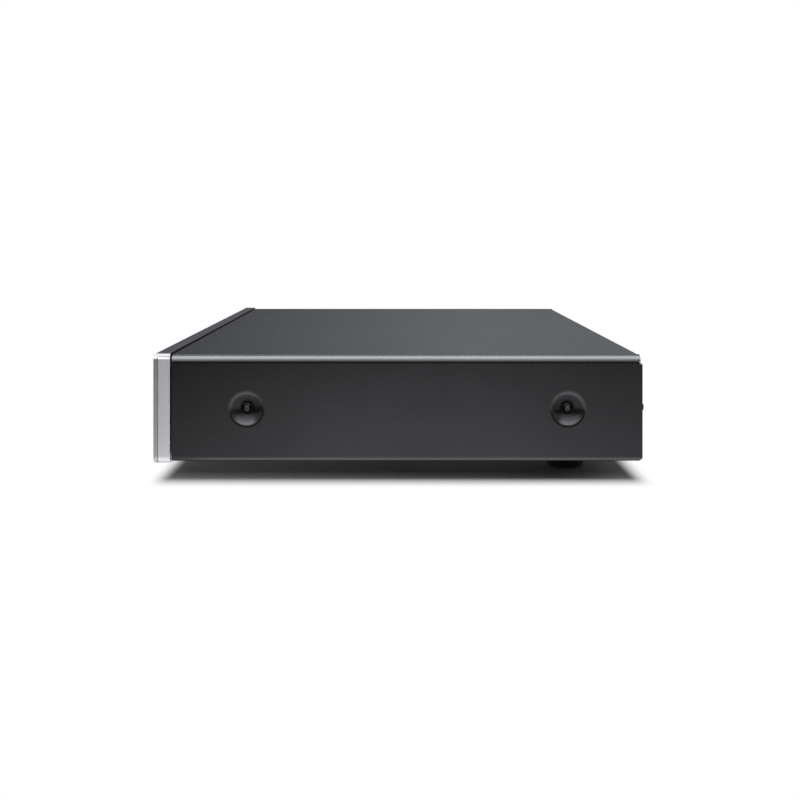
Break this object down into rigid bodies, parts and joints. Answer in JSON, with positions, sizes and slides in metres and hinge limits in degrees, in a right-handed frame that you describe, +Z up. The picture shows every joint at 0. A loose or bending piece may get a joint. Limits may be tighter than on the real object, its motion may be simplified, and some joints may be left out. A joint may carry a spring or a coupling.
{
  "type": "network music streamer",
  "caption": "Low full-width network music streamer in a folded dark-grey steel case with dimpled side screws, channel front panel, display, push buttons and a rotary push knob.",
  "frame": {"origin": "on the floor under the middle of the part's overall box", "axes": "+Z up, the front panel faces -Y, +X is the right-hand side for someone facing the front"},
  "size_m": [0.43, 0.3048, 0.075],
  "materials": {
    "case_paint": "satin dark-grey powder coat",
    "panel_anodised": "dark-grey brushed and anodised, machined bare at the ends",
    "end_cap_metal": "fine satin",
    "control_metal": "satin anodised",
    "zinc_steel": "zinc plated",
    "dark_steel": "black plated",
    "foot_rubber": "matt",
    "smoked_acrylic": "gloss smoked",
    "clear_plastic": "frosted",
    "moulded_black": "fine grain",
    "rocker_plastic": "polished",
    "board": "solder mask",
    "pale_plastic": "plain",
    "copper_winding": "amber wrapping film",
    "lead_insulation": "plain",
    "plated_brass": "bright",
    "heat_sink_black": "black anodised"
  },
  "bodies": {
    "case": {"front_panel": "panel_anodised", "end_cap_left": "end_cap_metal", "end_cap_right": "end_cap_metal", "top_cover": "case_paint", "base_tray": "case_paint", "rear_panel": "case_paint", "foot_front_left": "foot_rubber", "foot_front_right": "foot_rubber", "foot_rear_left": "foot_rubber", "foot_rear_right": "foot_rubber", "foot_rings": "foot_rubber", "display_window": "smoked_acrylic", "display_module": "moulded_black", "ir_window": "smoked_acrylic", "status_light": "clear_plastic", "encoder_body": "zinc_steel", "encoder_nut": "zinc_steel", "control_board": "board", "tact_switches": "moulded_black", "main_board": "board", "network_module": "board", "heat_sink": "heat_sink_black", "power_board": "board", "capacitors": "moulded_black", "terminal_blocks": "moulded_black", "board_connectors": "pale_plastic", "ring_core": "copper_winding", "core_washer": "zinc_steel", "core_bolt": "zinc_steel", "rear_brackets": "zinc_steel", "mains_leads": "lead_insulation", "inner_leads": "lead_insulation", "ribbon_cable": "pale_plastic", "mains_inlet": "moulded_black", "inlet_pins": "plated_brass", "mains_switch": "moulded_black", "ethernet_jack": "zinc_steel", "usb_sockets": "zinc_steel", "phono_housings": "moulded_black", "phono_collars": "plated_brass", "phono_inserts": "pale_plastic", "standoffs": "plated_brass", "cover_screws": "dark_steel", "clinch_nuts": "zinc_steel", "rear_screws": "dark_steel", "base_screws": "dark_steel", "panel_screws": "dark_steel", "board_screws": "zinc_steel", "foot_screws": "dark_steel"},
    "standby_button": {"standby_button": "control_metal"},
    "button_left_upper": {"button_left_upper": "control_metal"},
    "button_left_middle": {"button_left_middle": "control_metal"},
    "button_left_lower": {"button_left_lower": "control_metal"},
    "button_right_upper": {"button_right_upper": "control_metal"},
    "button_right_middle": {"button_right_middle": "control_metal"},
    "button_right_lower": {"button_right_lower": "control_metal"},
    "knob_plunger": {"encoder_plunger": "pale_plastic"},
    "knob": {"knob": "control_metal", "encoder_shaft": "zinc_steel"},
    "rocker": {"rocker": "rocker_plastic"}
  },
  "joints": [
    {"name": "standby_press", "type": "slide", "parent": "case", "child": "standby_button", "axis": [0, 1, 0], "range_m": [0, 0.0005], "stiffness_N_per_m": 400, "springref_m": -0.001},
    {"name": "button_left_upper_press", "type": "slide", "parent": "case", "child": "button_left_upper", "axis": [0, 1, 0], "range_m": [0, 0.0005], "stiffness_N_per_m": 400, "springref_m": -0.001},
    {"name": "button_left_middle_press", "type": "slide", "parent": "case", "child": "button_left_middle", "axis": [0, 1, 0], "range_m": [0, 0.0005], "stiffness_N_per_m": 400, "springref_m": -0.001},
    {"name": "button_left_lower_press", "type": "slide", "parent": "case", "child": "button_left_lower", "axis": [0, 1, 0], "range_m": [0, 0.0005], "stiffness_N_per_m": 400, "springref_m": -0.001},
    {"name": "button_right_upper_press", "type": "slide", "parent": "case", "child": "button_right_upper", "axis": [0, 1, 0], "range_m": [0, 0.0005], "stiffness_N_per_m": 400, "springref_m": -0.001},
    {"name": "button_right_middle_press", "type": "slide", "parent": "case", "child": "button_right_middle", "axis": [0, 1, 0], "range_m": [0, 0.0005], "stiffness_N_per_m": 400, "springref_m": -0.001},
    {"name": "button_right_lower_press", "type": "slide", "parent": "case", "child": "button_right_lower", "axis": [0, 1, 0], "range_m": [0, 0.0005], "stiffness_N_per_m": 400, "springref_m": -0.001},
    {"name": "knob_push", "type": "slide", "parent": "case", "child": "knob_plunger", "axis": [0, 1, 0], "range_m": [0, 0.0006], "stiffness_N_per_m": 800, "springref_m": -0.001},
    {"name": "knob_turn", "type": "hinge", "parent": "knob_plunger", "child": "knob", "pos_m": [0.143, -0.1434, 0.04265], "axis": [0, -1, 0], "continuous": true},
    {"name": "mains_rocker", "type": "hinge", "parent": "case", "child": "rocker", "pos_m": [-0.13, 0.1438, 0.03565], "axis": [-1, 0, 0], "range_deg": [0, 20]}
  ]
}
